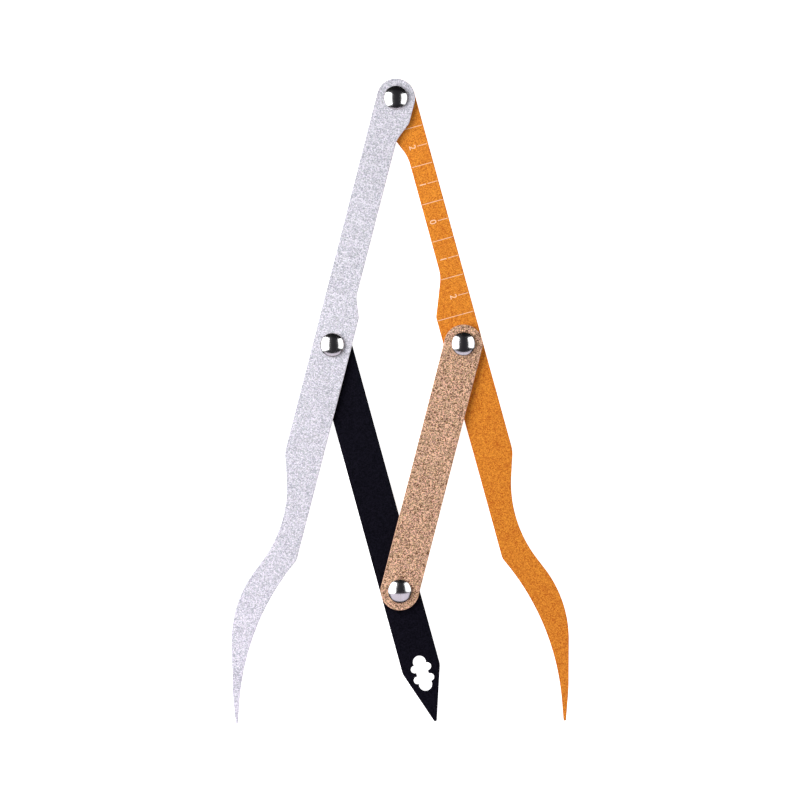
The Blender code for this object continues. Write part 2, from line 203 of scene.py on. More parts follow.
def end_tree(tree: Tree, instances: Socket, finish: Socket) -> Tree:
    """Makes a tree's instances real, sets their material and ends the tree with them.

    Args:
        tree: the geometry node tree.
        instances: the instances.
        finish: their material.

    Returns:
        The finished tree.
    """
    real = add_node(tree, "GeometryNodeRealizeInstances", {"Geometry": instances}).outputs[0]
    dressed = add_node(tree, "GeometryNodeSetMaterial", {"Geometry": real, "Material": finish}).outputs[0]
    add_node(tree, "NodeGroupOutput", {0: dressed})
    return tree


# Meshes and pieces


def add_object(name: str, data: bpy.types.ID) -> Object:
    """Adds an object at the origin of the scene.

    Args:
        name: the object's name.
        data: its mesh, light, camera or text.

    Returns:
        The new object.
    """
    obj = bpy.data.objects.new(name, data)
    bpy.context.scene.collection.objects.link(obj)
    return obj


def piece_from_mesh(name: str, mesh: Mesh) -> Object:
    """Adds a mesh, already in place, as the piece of that name."""
    mesh.name = name
    return add_object(name, mesh)


def hand_over(piece: Object, body: Body) -> None:
    """Hangs a finished piece on the body that it rides on, and reports it.

    Args:
        piece: the piece.
        body: the body that it rides on.
    """
    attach(piece, body.value)
    LOG.info("%s: %d faces", piece.name, len(piece.data.polygons))


def mesh_from_points(
    points: Sequence[Sequence[float]],
    tree: Tree,
    values: Mapping[str, object],
    attributes: Mapping[str, tuple[str, Sequence]] | None = None,
) -> Mesh:
    """Runs a geometry node tree on points and takes the result as a plain mesh.

    Args:
        points: the points.
        tree: the tree.
        values: the tree's inputs, by name.
        attributes: the kind and values of what each point carries, by name.

    Returns:
        The new mesh.
    """
    guide_mesh = bpy.data.meshes.new("guide")
    guide_mesh.from_pydata(points, [], [])
    for name, (kind, carried) in (attributes or {}).items():
        guide_mesh.attributes.new(name, kind, "POINT").data.foreach_set("value", carried)
    guide = piece_from_mesh("guide", guide_mesh)
    modifier = guide.modifiers.new(tree.name, "NODES")
    modifier.node_group = tree
    for socket in tree.interface.items_tree:
        if socket.name in values:
            modifier[socket.identifier] = values[socket.name]
    graph = bpy.context.evaluated_depsgraph_get()
    graph.update()
    mesh = bpy.data.meshes.new_from_object(guide.evaluated_get(graph), depsgraph=graph)
    guide.modifiers.remove(modifier)
    bpy.data.objects.remove(guide, do_unlink=True)
    return mesh


def smooth_mesh(cage: Cage, name: str, crease: float) -> Mesh:
    """Welds a cage and turns it into a mesh that faces outwards and is smooth between its creases.

    Args:
        cage: the cage, which is freed.
        name: the mesh's name.
        crease: the angle above which an edge is sharp.

    Returns:
        The mesh.
    """
    bmesh.ops.remove_doubles(cage, verts=cage.verts, dist=WELD)
    bmesh.ops.recalc_face_normals(cage, faces=cage.faces)
    for face in cage.faces:
        face.smooth = True
    for edge in cage.edges:
        if edge.calc_face_angle(math.pi) > crease:
            edge.smooth = False
    mesh = bpy.data.meshes.new(name)
    cage.to_mesh(mesh)
    cage.free()
    return mesh


def arc(centre: Vector, radius: float, start: float, end: float, steps: int) -> Outline:
    """The points of an arc of so many chords, with both its ends."""
    angles = [start + (end - start) * step / steps for step in range(steps + 1)]
    return [centre + radius * Vector((math.cos(angle), math.sin(angle))) for angle in angles]


def filleted(
    corners: Sequence[Triple], chord: float = 0.12 * MM, fewest_steps: int = 6, weld: float = 0.002 * MM
) -> Outline:
    """Rounds each corner of a closed outline by its own radius.

    Args:
        corners: x, y and radius of each corner.
        chord: the longest chord of an arc.
        fewest_steps: how many chords an arc has at least.
        weld: points closer than this are one.

    Returns:
        The points of the rounded outline.
    """
    points: Outline = []
    for index, (x, y, radius) in enumerate(corners):
        corner = Vector((x, y))
        to_last = (Vector(corners[index - 1][:2]) - corner).normalized()
        to_next = (Vector(corners[(index + 1) % len(corners)][:2]) - corner).normalized()
        half_angle = to_last.angle(to_next) / 2
        centre = corner + (to_last + to_next).normalized() * radius / math.sin(half_angle)
        arm = corner + to_last * radius / math.tan(half_angle) - centre
        turn = math.copysign(math.pi - 2 * half_angle, to_last.y * to_next.x - to_last.x * to_next.y)
        steps = max(fewest_steps, math.ceil(abs(turn) * radius / chord))
        for step in range(steps + 1):
            point = centre + Matrix.Rotation(turn * step / steps, 2) @ arm
            if not points or (point - points[-1]).length > weld:
                points.append(point)
    if (points[0] - points[-1]).length <= weld:
        points.pop()
    return points


def sides(ring: list) -> Iterable[tuple]:
    """Each member of a closed ring with the one after it."""
    return zip(ring, ring[1:] + ring[:1])


def signed_area(outline: Outline) -> float:
    """The area of an outline, positive if it runs anticlockwise."""
    return sum(a.x * b.y - b.x * a.y for a, b in sides(outline)) / 2


def fill_between(cage: Cage, rings: Iterable[Ring]) -> None:
    """Fills the flat area between rings of vertices with triangles, and makes the rings sharp.

    Args:
        cage: the mesh that the rings are in.
        rings: the outer ring and the rings inside it, none of which cross.
    """
    vertices: Ring = []
    loops: list[list[int]] = []
    for ring in rings:
        numbers = list(range(len(vertices), len(vertices) + len(ring)))
        anticlockwise = signed_area([vertex.co.xy for vertex in ring]) > 0
        loops.append(numbers if anticlockwise else numbers[::-1])
        vertices += ring
    points = [vertex.co.xy for vertex in vertices]
    _, _, triangles, sources, _, enclosing = delaunay_2d_cdt(points, [], loops, INSIDE_ONLY, WELD)
    for triangle, around in zip(triangles, enclosing):
        # Only the outer ring lies round a triangle that is in no island
        if list(around) == [0]:
            cage.faces.new([vertices[sources[number][0]] for number in triangle])
    for loop in loops:
        for a, b in sides(loop):
            if border := cage.edges.get((vertices[a], vertices[b])):
                border.smooth = False


# Finishes


@dataclass(frozen=True)
class Finish:
    """A finish with a material of its own; each kind of finish says how it looks."""

    name: str

    def looks(self, tree: Tree, place: Socket) -> dict[str, object]:
        """Adds the finish's nodes.

        Args:
            tree: the material's node tree.
            place: a point's place on the object.

        Returns:
            What goes into the shader.
        """
        raise NotImplementedError

    def material(self) -> bpy.types.Material:
        """Builds the material.

        Returns:
            The finished material.
        """
        material = bpy.data.materials.new(self.name)
        material.use_nodes = True
        tree = material.node_tree
        tree.nodes.clear()
        place = add_node(tree, "ShaderNodeTexCoord").outputs["Object"]
        shader = add_node(tree, "ShaderNodeBsdfPrincipled", self.looks(tree, place))
        add_node(tree, "ShaderNodeOutputMaterial", {"Surface": shader.outputs[0]})
        return material


@dataclass(frozen=True)
class AnodisedAluminium(Finish):
    """Aluminium plate, blasted with coarse grit and then anodised in a dyed film.

    The blasting leaves small facets that lie at all angles. Their glitter is painted into the colour: the
    light grains are painted glints and the dark grains painted shade, over the metal's own tone.
    The film tints what the metal reflects, and it is thin and pale along the broken edges.
    """

    # The darkest and lightest grains: painted shade and painted glints of the facets, over the metal's own
    # tone
    dark_grain: str
    light_grain: str
    edge: str
    # How sharply the grains part into light and dark ones
    grain_parting: float = 1.0
    # How much of its own random tint a grain keeps: the film's interference colours, with a painted coloured
    # sparkle of the facets
    glint: float = 0.06
    # The rest is scattered: the facets send light back and forth inside the film
    metallic: float = 0.45
    roughness: float = 0.78
    edge_roughness: float = 0.5
    # Real facets are about 0.1 mm wide, and are drawn this wide so that they show
    grain_width: float = 0.22 * MM
    grain_fray: float = 0.1 * MM
    dimple_depth: float = 0.012 * MM
    dimple_strength: float = 1.0
    # The blasting nozzle leaves faint clouds this wide
    cloud_width: float = 9 * MM
    cloud_share: float = 0.16

    def looks(self, tree: Tree, place: Socket) -> dict[str, object]:
        """Adds the grains, their dimples and the clouds, and wears the edges; see Finish."""
        grains = 1 / self.grain_width
        fray = (noise(tree, place, grains, output="Color"), (self.grain_fray,) * 3, place)
        frayed = computed(tree, "MULTIPLY_ADD", *fray, kind="ShaderNodeVectorMath")
        facets = add_node(tree, "ShaderNodeTexVoronoi", {"Vector": frayed, "Scale": grains}).outputs
        facet = add_node(tree, "ShaderNodeSeparateColor", {"Color": facets["Color"]}).outputs["Red"]
        clouds = noise(tree, place, 1 / self.cloud_width)
        brightness = computed(tree, "MULTIPLY_ADD", clouds, self.cloud_share, facet)
        # Facet and clouds together come to 1 plus the clouds' share at most
        middle = (1 + self.cloud_share) / 2
        spread = middle / self.grain_parting
        # Light and dark grains in the colour: painted glints and painted shade of the facets, laid over their
        # real tone
        grain = ranged(tree, brightness, span=(middle - spread, middle + spread))
        grains_painted_glitter = mixed(tree, grain, linear(self.dark_grain), linear(self.light_grain))
        glinting = mixed(tree, self.glint, grains_painted_glitter, facets["Color"], "OVERLAY")
        wear = film_wear(tree)
        return {
            "Base Color": mixed(tree, wear, glinting, linear(self.edge)),
            "Metallic": self.metallic,
            "Roughness": ranged(tree, wear, onto=(self.roughness, self.edge_roughness)),
            "Normal": bumped(tree, facets["Distance"], self.dimple_depth, self.dimple_strength),
        }


@dataclass(frozen=True)
class LaserMark(Finish):
    """Anodised film bleached by a marking laser: a pale, matt and slightly rough trace."""

    pale: str
    deep: str
    roughness: float = 0.7
    # The laser's pulses lie this far apart
    pulse_pitch: float = 0.08 * MM
    pulse_depth: float = 0.01 * MM
    pulse_strength: float = 0.4

    def looks(self, tree: Tree, place: Socket) -> dict[str, object]:
        """Adds the traces of the pulses; see Finish."""
        pulses = noise(tree, place, 1 / self.pulse_pitch, detail=1.0)
        return {
            "Base Color": mixed(tree, pulses, linear(self.deep), linear(self.pale)),
            "Roughness": self.roughness,
            "Normal": bumped(tree, pulses, self.pulse_depth, self.pulse_strength),
        }


@dataclass(frozen=True)
class PlatedSteel(Finish):
    """Steel stamping with a plated skin.

    It mirrors its surroundings sharply. Its gloss is broken by fine handling scratches, and the skin is thin
    and duller on the rim.
    """

    skin: str
    worn_skin: str
    roughness: float
    worn_roughness: float
    scratch_width: float = 0.05 * MM
    scratch_length: float = 2 * MM
    scratch_turn: float = 0.6
    scratch_depth: float = 0.0004 * MM
    scratch_strength: float = 0.5
    # The skin is scratched where the noise is above the first value, and wholly so above the second
    scratched: Pair = (0.5, 0.8)

    def looks(self, tree: Tree, place: Socket) -> dict[str, object]:
        """Adds the scratches and wears the rim; see Finish."""
        across, along = 1 / self.scratch_width, 1 / self.scratch_length
        layout = {"Vector": place, "Rotation": (0.0, 0.0, self.scratch_turn), "Scale": (across, along, along)}
        stretched = add_node(tree, "ShaderNodeMapping", layout).outputs["Vector"]
        scratches = noise(tree, stretched, 1.0)
        wear = computed(tree, "ADD", ranged(tree, scratches, span=self.scratched), film_wear(tree))
        return {
            "Base Color": mixed(tree, wear, linear(self.skin), linear(self.worn_skin)),
            "Metallic": 1.0,
            "Roughness": ranged(tree, wear, onto=(self.roughness, self.worn_roughness)),
            "Normal": bumped(tree, scratches, self.scratch_depth, self.scratch_strength),
        }


@dataclass(frozen=True)
class OpalAcrylic(Finish):
    """Sheet of opal acrylic, lit from behind as on a light table, so that hardly a shadow shows on it."""

    name: str = "opal_acrylic"
    sheet: str = "#f4f4f4"
    glow: float = 1.12
    # Faint unevenness of a cast sheet
    ripple_width: float = 6 * MM
    ripple_depth: float = 0.06 * MM
    ripple_strength: float = 0.2

    def looks(self, tree: Tree, place: Socket) -> dict[str, object]:
        """Adds the glow and the ripples; see Finish."""
        ripples = noise(tree, place, 1 / self.ripple_width)
        return {
            "Base Color": linear(self.sheet),
            "Roughness": 1.0,
            "Specular IOR Level": 0.0,
            "Emission Color": linear(self.sheet),
            "Emission Strength": self.glow,
            "Normal": bumped(tree, ripples, self.ripple_depth, self.ripple_strength),
        }


# The linkage


@dataclass(frozen=True)
class Linkage:
    """The rhombus at rest, and how its layers stack up from the surface that it lies on."""

    pivot_pitch: float = 66 * MM
    arm_reach: float = 167 * MM
    rest_angle: float = math.radians(29.8)
    plate_thickness: float = 1.2 * MM
    layer_gap: float = 0.1 * MM
    seat_gap: float = 0.04 * MM
    rear_cap_height: float = 1.1 * MM

    def place(self, body: Body) -> Matrix:
        """Where a body's own frame lies at rest; its plate runs from there towards -Y.

        Args:
            body: the body.

        Returns:
            The body's place, at the height of the surface that the tool lies on.
        """
        orange, silver = [Matrix.Rotation(turn * self.rest_angle / 2, 4, "Z") for turn in (1, -1)]
        down = Matrix.Translation((0, -self.pivot_pitch, 0))
        unfold = Matrix.Rotation(self.rest_angle, 4, "Z")
        places = {
            Body.ORANGE: orange,
            Body.SILVER: silver,
            Body.BLACK: silver @ down @ unfold,
            Body.ROSE: orange @ down @ unfold.inverted(),
        }
        return places[body]

    def plate_bottom(self, layer: Layer) -> float:
        """The height of the underside of the plates of a layer."""
        rear = self.rear_cap_height + self.seat_gap
        return rear + layer.value * (self.plate_thickness + self.layer_gap)

    def plate_top(self, layer: Layer) -> float:
        """The height of the upper face of the plates of a layer."""
        return self.plate_bottom(layer) + self.plate_thickness

    def cap_base(self, layer: Layer) -> float:
        """The height of the base of the caps on one face of the stack."""
        if layer is Layer.REAR:
            return self.rear_cap_height
        return self.plate_top(Layer.FRONT) + self.seat_gap


# The plates


@dataclass(frozen=True)
class Groove:
    """An engraved shape: its outline, and the outlines of the islands left standing in it."""

    outline: Outline
    islands: tuple[Outline, ...] = ()


@dataclass
class PlateMesh:
    """Builds the mesh of a flat plate with broken edges, holes and grooves, in the plate's own frame."""

    thickness: float
    edge_break: float
    groove_depth: float
    # Inset and drop of each ring of the broken edge, as shares of its width, and how much film is off there
    edge_shares: tuple[Triple, ...] = (
        (1.0, 0.0, 0.0),
        (0.85, 0.04, 1.0),
        (0.04, 0.85, 1.0),
        (0.0, 1.0, 0.8),
        (0.0, 2.2, 0.0),
    )
    # The ring of these where the broken edge meets the wall
    foot_of_break: int = 3
    crease: float = math.radians(25)
    # A corner moves no farther than its sides do, divided by this
    sharpest_share: float = 0.4
    # How many points ahead a side may cross another
    tangle_reach: int = 14
    cage: Cage = field(default_factory=bmesh.new)

    def ring(self, outline: Outline, height: float, wear: float = 0.0) -> Ring:
        """Adds an outline's vertices at a height.

        Args:
            outline: the points.
            height: the height above the plate's underside.
            wear: how much of the film is worn off there, from 0 to 1.

        Returns:
            The new vertices.
        """
        layers = self.cage.verts.layers.float
        worn = layers.get(WEAR_ATTRIBUTE) or layers.new(WEAR_ATTRIBUTE)
        vertices = [self.cage.verts.new((point.x, point.y, height)) for point in outline]
        for vertex in vertices:
            vertex[worn] = wear
        return vertices

    def join(self, upper: Ring, lower: Ring) -> None:
        """Joins two rings of the same outline with faces."""
        for (first, second), (below_first, below_second) in zip(sides(upper), sides(lower)):
            self.cage.faces.new((first, below_first, below_second, second))

    def inset(self, outline: Outline, distance: float) -> Outline:
        """Moves an outline into the material.

        Args:
            outline: the outline, with the material to its left.
            distance: how far it moves.

        Returns:
            The moved outline, with as many points.
        """
        moved = []
        for number, point in enumerate(outline):
            before = (point - outline[number - 1]).normalized()
            after = (outline[(number + 1) % len(outline)] - point).normalized()
            along = (before + after).normalized()
            share = max(self.sharpest_share, along.dot(before))
            moved.append(point + Vector((-along.y, along.x)) * distance / share)
        return self.untangled(moved)

    def untangled(self, outline: Outline) -> Outline:
        """Gathers the points between two sides that cross, as at a sharp cusp, where the sides cross.

        Args:
            outline: the outline.

        Returns:
            An outline that doesn't cross itself, with as many points.
        """
        freed = list(outline)
        count = len(outline)
        for first in range(count):
            for later in range(first + 2, first + self.tangle_reach):
                ends = [outline[number % count] for number in (first, first + 1, later, later + 1)]
                if crossing := intersect_line_line_2d(*ends):
                    for number in range(first + 1, later + 1):
                        freed[number % count] = crossing
        return freed

    def wall(self, outline: Outline) -> tuple[Ring, Ring]:
        """Builds a wall with both its edges broken.

        Args:
            outline: the wall's outline, with the material to its left.

        Returns:
            The rings where the wall meets the upper and the lower face.
        """
        upper, lower = [], []
        for inset, drop, wear in self.edge_shares:
            moved, depth = self.inset(outline, inset * self.edge_break), drop * self.edge_break
            upper.append(self.ring(moved, self.thickness - depth, wear))
            lower.append(self.ring(moved, depth, wear))
        rings = upper + lower[::-1]
        for above, below in zip(rings, rings[1:]):
            self.join(above, below)
        for ring in (upper[self.foot_of_break], lower[self.foot_of_break]):
            for ends in sides(ring):
                self.cage.edges.get(ends).smooth = False
        return upper[0], lower[0]

    def build(self, rim: Outline, holes: list[Outline], grooves: Sequence[Groove]) -> Mesh:
        """Builds the closed plate.

        Args:
            rim: the plate's outline.
            holes: the outlines of what goes right through it.
            grooves: what is engraved in its upper face.

        Returns:
            The mesh.
        """
        walls = [rim if signed_area(rim) > 0 else rim[::-1]]
        walls += [hole if signed_area(hole) < 0 else hole[::-1] for hole in holes]
        upper, lower = zip(*(self.wall(outline) for outline in walls))
        upper = list(upper)
        for groove in grooves:
            floors = []
            for outline in (groove.outline, *groove.islands):
                top = self.ring(outline, self.thickness)
                floors.append(self.ring(outline, self.thickness - self.groove_depth))
                self.join(top, floors[-1])
                if outline is groove.outline:
                    upper.append(top)
                else:
                    fill_between(self.cage, [top])
            fill_between(self.cage, floors)
        fill_between(self.cage, upper)
        fill_between(self.cage, lower)
        return smooth_mesh(self.cage, "plate", self.crease)


@dataclass
class Plate:
    """A flat plate of the linkage; each kind of plate gives its own outline."""

    body: Body
    layer: Layer
    slot: Slot
    finish: AnodisedAluminium
    linkage: Linkage
    width: float = 10 * MM
    pivot_hole_radius: float = 1.45 * MM
    edge_break: float = 0.12 * MM
    groove_depth: float = 0.06 * MM
    hole_steps: int = 48

    @property
    def half_width(self) -> float:
        """Half the plate's width."""
        return self.width / 2

    def rim(self) -> Outline:
        """The plate's outline in its body's frame."""
        raise NotImplementedError

    def holes(self) -> list[Outline]:
        """The outlines of the two pivot holes."""
        centres = [Vector((0, 0)), Vector((0, -self.linkage.pivot_pitch))]
        return [arc(centre, self.pivot_hole_radius, 0, math.tau, self.hole_steps)[:-1] for centre in centres]

    def grooves(self) -> list[Groove]:
        """What is engraved in the plate's upper face."""
        return []

    def build(self) -> None:
        """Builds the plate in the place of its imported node."""
        builder = PlateMesh(self.linkage.plate_thickness, self.edge_break, self.groove_depth)
        mesh = builder.build(self.rim(), self.holes(), self.grooves())
        height = Matrix.Translation((0, 0, self.linkage.plate_bottom(self.layer)))
        mesh.transform(self.linkage.place(self.body) @ height)
        mesh.materials.append(self.finish.material())
        piece = piece_from_mesh(f"{self.body.value}_plate", mesh)
        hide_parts(self.body.value)
        hand_over(piece, self.body)


@dataclass
class OuterArm(Plate):
    """An outer arm: a straight run with a shallow neck, then a bent end that narrows to the tip."""

    inner_side: Side = Side.RIGHT
    neck_depth: float = 2 * MM
    neck_radius: float = 4 * MM
    neck_start: float = 5.5 * MM
    neck_end: float = 57.5 * MM
    neck_slope_share: float = 0.4
    neck_crest_radius: float = 1.5 * MM
    straight_run: float = 96 * MM
    # Corners along the bent run, across the width (positive is the inner side), and their radius by the width
    outer_edge_shares: tuple[Triple, ...] = (
        (0.0, -0.5, 0.8),
        (0.245, 0.086, 3.2),
        (0.58, -0.88, 3.0),
        (0.89, -0.262, 5.0),
        (1.0, 0.02, 0.03),
    )
    inner_edge_shares: tuple[Triple, ...] = ((1.0, 0.085, 0.03), (0.655, -0.375, 6.4), (0.368, 0.5, 0.25))
    mark_finish: LaserMark | None = None

    @property
    def scale(self) -> "Scale":
        """The scale that is engraved in the arm."""
        return Scale(self, self.mark_finish)

    def neck_floor(self) -> Triple:
        """Where the neck's floor starts and ends along the arm, and how far from the centre line it lies."""
        run = self.neck_depth / self.neck_slope_share
        return self.neck_start + run, self.neck_end - run, self.half_width - self.neck_depth

    def inner_edge_across(self, along: float) -> float:
        """How far across the straight run's inner edge lies there, before the neck's corners are rounded."""
        slope = self.half_width + max(self.neck_start - along, along - self.neck_end) * self.neck_slope_share
        return min(self.half_width, max(self.neck_floor()[2], slope))

    def rim(self) -> Outline:
        """The arm's outline, from its outer edge to the tip and back up the inner edge."""
        half = self.half_width
        bent_run = self.linkage.arm_reach - self.straight_run
        floor_start, floor_end, floor_across = self.neck_floor()
        corners = [
            (self.straight_run + bent_run * along, self.width * across, self.width * radius)
            for along, across, radius in self.outer_edge_shares + self.inner_edge_shares
        ]
        corners += [
            (self.neck_end, half, self.neck_crest_radius),
            (floor_end, floor_across, self.neck_radius),
            (floor_start, floor_across, self.neck_radius),
            (self.neck_start, half, self.neck_crest_radius),
            (-half, half, half),
            (-half, -half, half),
        ]
        side = self.inner_side.value
        return filleted([(side * across, -along, radius) for along, across, radius in corners])

    def grooves(self) -> list[Groove]:
        """The grooves of the scale, where the arm carries one."""
        return self.scale.grooves() if self.mark_finish else []


@dataclass
class MiddleArm(Plate):
    """The straight middle arm, with a V-shaped tip and a lobed cut-out above it."""

    taper: float = 14 * MM
    shoulder_radius: float = 3 * MM
    tip_radius: float = 0.35 * MM
    tip_width: float = 0.6 * MM
    cutout_from_tip: float = 12.9 * MM
    end_lobe_radius: float = 1.7 * MM
    end_lobe_spread: float = 2.97 * MM
    side_lobe_radius: float = 1 * MM
    side_lobe_along: float = 1.45 * MM
    side_lobe_across: float = 1.7 * MM
    bar_width: float = 3.1 * MM
    lobe_steps: int = 20

    @property
    def reach(self) -> float:
        """The distance from the upper pivot to the tip, which keeps the three tips in line."""
        return self.linkage.arm_reach - self.linkage.pivot_pitch

    def rim(self) -> Outline:
        """The arm's outline."""
        half, half_tip, shoulder = self.half_width, self.tip_width / 2, self.reach - self.taper
        return filleted(
            [
                (-half, half, half),
                (-half, -shoulder, self.shoulder_radius),
                (-half_tip, -self.reach, self.tip_radius),
                (half_tip, -self.reach, self.tip_radius),
                (half, -shoulder, self.shoulder_radius),
                (half, half, half),
            ]
        )

    def cutout(self) -> Outline:
        """The cut-out: two end lobes, four side lobes and the straight bar between them."""
        side = Vector((self.side_lobe_across, self.side_lobe_along))
        end = Vector((0, self.end_lobe_spread))
        start = math.acos((self.bar_width / 2 - side.x) / self.side_lobe_radius)
        gap = end - side
        reach = (gap.length_squared + self.side_lobe_radius**2 - self.end_lobe_radius**2) / (2 * gap.length)
        rise = math.sqrt(self.side_lobe_radius**2 - reach**2)
        meeting = side + gap.normalized() * reach + gap.normalized().orthogonal() * -rise
        side_stop = math.atan2(meeting.y - side.y, meeting.x - side.x)
        end_start = math.atan2(meeting.y - end.y, meeting.x - end.x)
        quarter = arc(side, self.side_lobe_radius, -start, side_stop, self.lobe_steps)
        quarter += arc(end, self.end_lobe_radius, end_start, math.pi / 2, self.lobe_steps)[1:]
        half = quarter + [Vector((-point.x, point.y)) for point in quarter[-2::-1]]
        whole = half + [-point for point in half]
        middle = Vector((0, self.cutout_from_tip - self.reach))
        return [point + middle for point in whole]

    def holes(self) -> list[Outline]:
        """The pivot holes and the cut-out."""
        return [*super().holes(), self.cutout()]


@dataclass
class Link(Plate):
    """The short link, round at both ends."""

    def rim(self) -> Outline:
        """The link's outline."""
        half, end = self.half_width, -self.linkage.pivot_pitch - self.half_width
        return filleted([(-half, half, half), (-half, end, half), (half, end, half), (half, half, half)])


# The scale


@dataclass
class Scale:
    """The engraved scale of an outer arm: a numbered tick each step, and a long line between the ticks."""

    arm: OuterArm
    finish: LaserMark
    zero: float = 33.5 * MM
    step: float = 10 * MM
    reach_steps: int = 2
    mark_width: float = 0.17 * MM
    mark_margin: float = 0.25 * MM
    tick_length: float = 2.7 * MM
    digit_height: float = 1.7 * MM
    digit_from_edge: float = 4.2 * MM
    digit_curve_steps: int = 6
    mark_side_gap: float = 0.01 * MM
    mark_sink: float = 0.01 * MM

    @property
    def outer_side(self) -> int:
        """The side of the arm's centre line that its outer edge lies on, as a sign."""
        return -self.arm.inner_side.value

    def marks(self) -> list[Triple]:
        """Lists the straight marks.

        Returns:
            The middle of each mark across the arm, its distance along the arm, and its length.
        """
        outer = self.arm.half_width - self.mark_margin
        found = []
        for half_step in range(-2 * self.reach_steps - 1, 2 * self.reach_steps + 2):
            along = self.zero + half_step * self.step / 2
            inner = outer - self.tick_length
            if half_step % 2:
                inner = self.mark_margin - self.arm.inner_edge_across(along)
            found.append((self.outer_side * (outer + inner) / 2, along, outer - inner))
        return found

    def digits(self) -> list[Triple]:
        """Lists the digits.

        Returns:
            Each digit, its middle across the arm, and its distance along the arm.
        """
        across = self.outer_side * (self.arm.half_width - self.digit_from_edge)
        steps = range(-self.reach_steps, self.reach_steps + 1)
        return [(abs(step), across, self.zero + step * self.step) for step in steps]

    def digit_outlines(self, digit: int) -> list[Outline]:
        """Takes a digit's outlines from the built-in typeface.

        Args:
            digit: the digit.

        Returns:
            Its outlines about its middle, the largest first, its top towards the arm's outer edge.
        """
        text = bpy.data.curves.new("digit", "FONT")
        text.body = str(digit)
        text.size = self.digit_height
        text.resolution_u = self.digit_curve_steps
        guide = add_object("digit", text)
        bpy.context.view_layer.update()
        cage = bmesh.new()
        cage.from_mesh(guide.to_mesh())
        guide.to_mesh_clear()
        bpy.data.objects.remove(guide, do_unlink=True)
        bmesh.ops.remove_doubles(cage, verts=cage.verts, dist=WELD)
        border = {edge for edge in cage.edges if edge.is_boundary}
        outlines = []
        while border:
            edge = border.pop()
            first, vertex = edge.verts
            ring = [first.co.xy, vertex.co.xy]
            while following := next((e for e in vertex.link_edges if e in border), None):
                border.remove(following)
                vertex = following.other_vert(vertex)
                ring.append(vertex.co.xy)
            outlines.append(ring[:-1])
        cage.free()
        points = [point for outline in outlines for point in outline]
        low = Vector((min(p.x for p in points), min(p.y for p in points)))
        high = Vector((max(p.x for p in points), max(p.y for p in points)))
        growth = self.digit_height / (high.y - low.y)
        turned = Matrix.Rotation(-self.outer_side * math.pi / 2, 2)
        placed = [[turned @ (p - (low + high) / 2) * growth for p in outline] for outline in outlines]
        return sorted(placed, key=lambda outline: abs(signed_area(outline)), reverse=True)

    def grooves(self) -> list[Groove]:
        """Lists the grooves of the marks and digits.

        Returns:
            The grooves in the arm's frame.
        """
        grooves = []
        half = self.mark_width / 2
        for middle, along, length in self.marks():
            corners = [(-length / 2, -half), (length / 2, -half), (length / 2, half), (-length / 2, half)]
            grooves.append(Groove([Vector((middle + x, y - along)) for x, y in corners]))
        for digit, across, along in self.digits():
            place = Vector((across, -along))
            outline, *islands = [[point + place for point in ring] for ring in self.digit_outlines(digit)]
            grooves.append(Groove(outline, tuple(islands)))
        return grooves

    def digit_slab(self, digit: int, depth: float) -> Object:
        """Builds the slab of one digit, which the tree copies to its places.

        Args:
            digit: the digit.
            depth: the slab's height.

        Returns:
            The slab.
        """
        cage = bmesh.new()
        rings = self.digit_outlines(digit)
        fill_between(cage, [[cage.verts.new((*point, 0.0)) for point in ring] for ring in rings])
        raised = bmesh.ops.extrude_face_region(cage, geom=cage.faces[:])["geom"]
        top = [element for element in raised if isinstance(element, bmesh.types.BMVert)]
        bmesh.ops.translate(cage, verts=top, vec=(0.0, 0.0, depth))
        bmesh.ops.recalc_face_normals(cage, faces=cage.faces)
        mesh = bpy.data.meshes.new(f"digit_{digit}")
        cage.to_mesh(mesh)
        cage.free()
        return bpy.data.objects.new(f"digit_{digit}", mesh)

    def tree(self) -> Tree:
        """Builds the tree that puts a bar or a digit on each point, and picks digits by their slabs' order.

        Returns:
            The geometry node tree.
        """
        inputs = {"Guide": "Geometry", "Mark Width": "Float", "Mark Height": "Float"}
        inputs |= {"Digits": "Collection", "Finish": "Material"}
        tree, given = new_tree("scale_marks", inputs, "Marks")
        length, digit = [
            add_node(tree, "GeometryNodeInputNamedAttribute", {"Name": name}, data_type=kind).outputs[0]
            for name, kind in ((LENGTH_ATTRIBUTE, "FLOAT"), (DIGIT_ATTRIBUTE, "INT"))
        ]
        is_bar = computed(tree, "GREATER_THAN", length, 0.0, kind="FunctionNodeCompare")
        size = {"X": length, "Y": given["Mark Width"], "Z": given["Mark Height"]}
        unit_bar = add_node(tree, "GeometryNodeMeshCube", {"Size": (1.0, 1.0, 1.0)}).outputs["Mesh"]
        # Raised by half its height, so that it stands on its point
        raised_bar = {"Geometry": unit_bar, "Translation": (0.0, 0.0, 0.5)}
        bars = {
            "Points": given["Guide"],
            "Selection": is_bar,
            "Instance": add_node(tree, "GeometryNodeTransform", raised_bar).outputs["Geometry"],
            "Scale": add_node(tree, "ShaderNodeCombineXYZ", size).outputs[0],
        }
        slabs = {"Collection": given["Digits"], "Separate Children": True, "Reset Children": True}
        digits = {
            "Points": given["Guide"],
            "Selection": computed(tree, "NOT", is_bar, kind="FunctionNodeBooleanMath"),
            "Instance": add_node(tree, "GeometryNodeCollectionInfo", slabs).outputs[0],
            "Pick Instance": True,
            "Instance Index": digit,
        }
        joined = add_node(tree, "GeometryNodeJoinGeometry")
        for marks in (bars, digits):
            instances = add_node(tree, "GeometryNodeInstanceOnPoints", marks).outputs["Instances"]
            tree.links.new(instances, joined.inputs[0])
        return end_tree(tree, joined.outputs[0], given["Finish"])

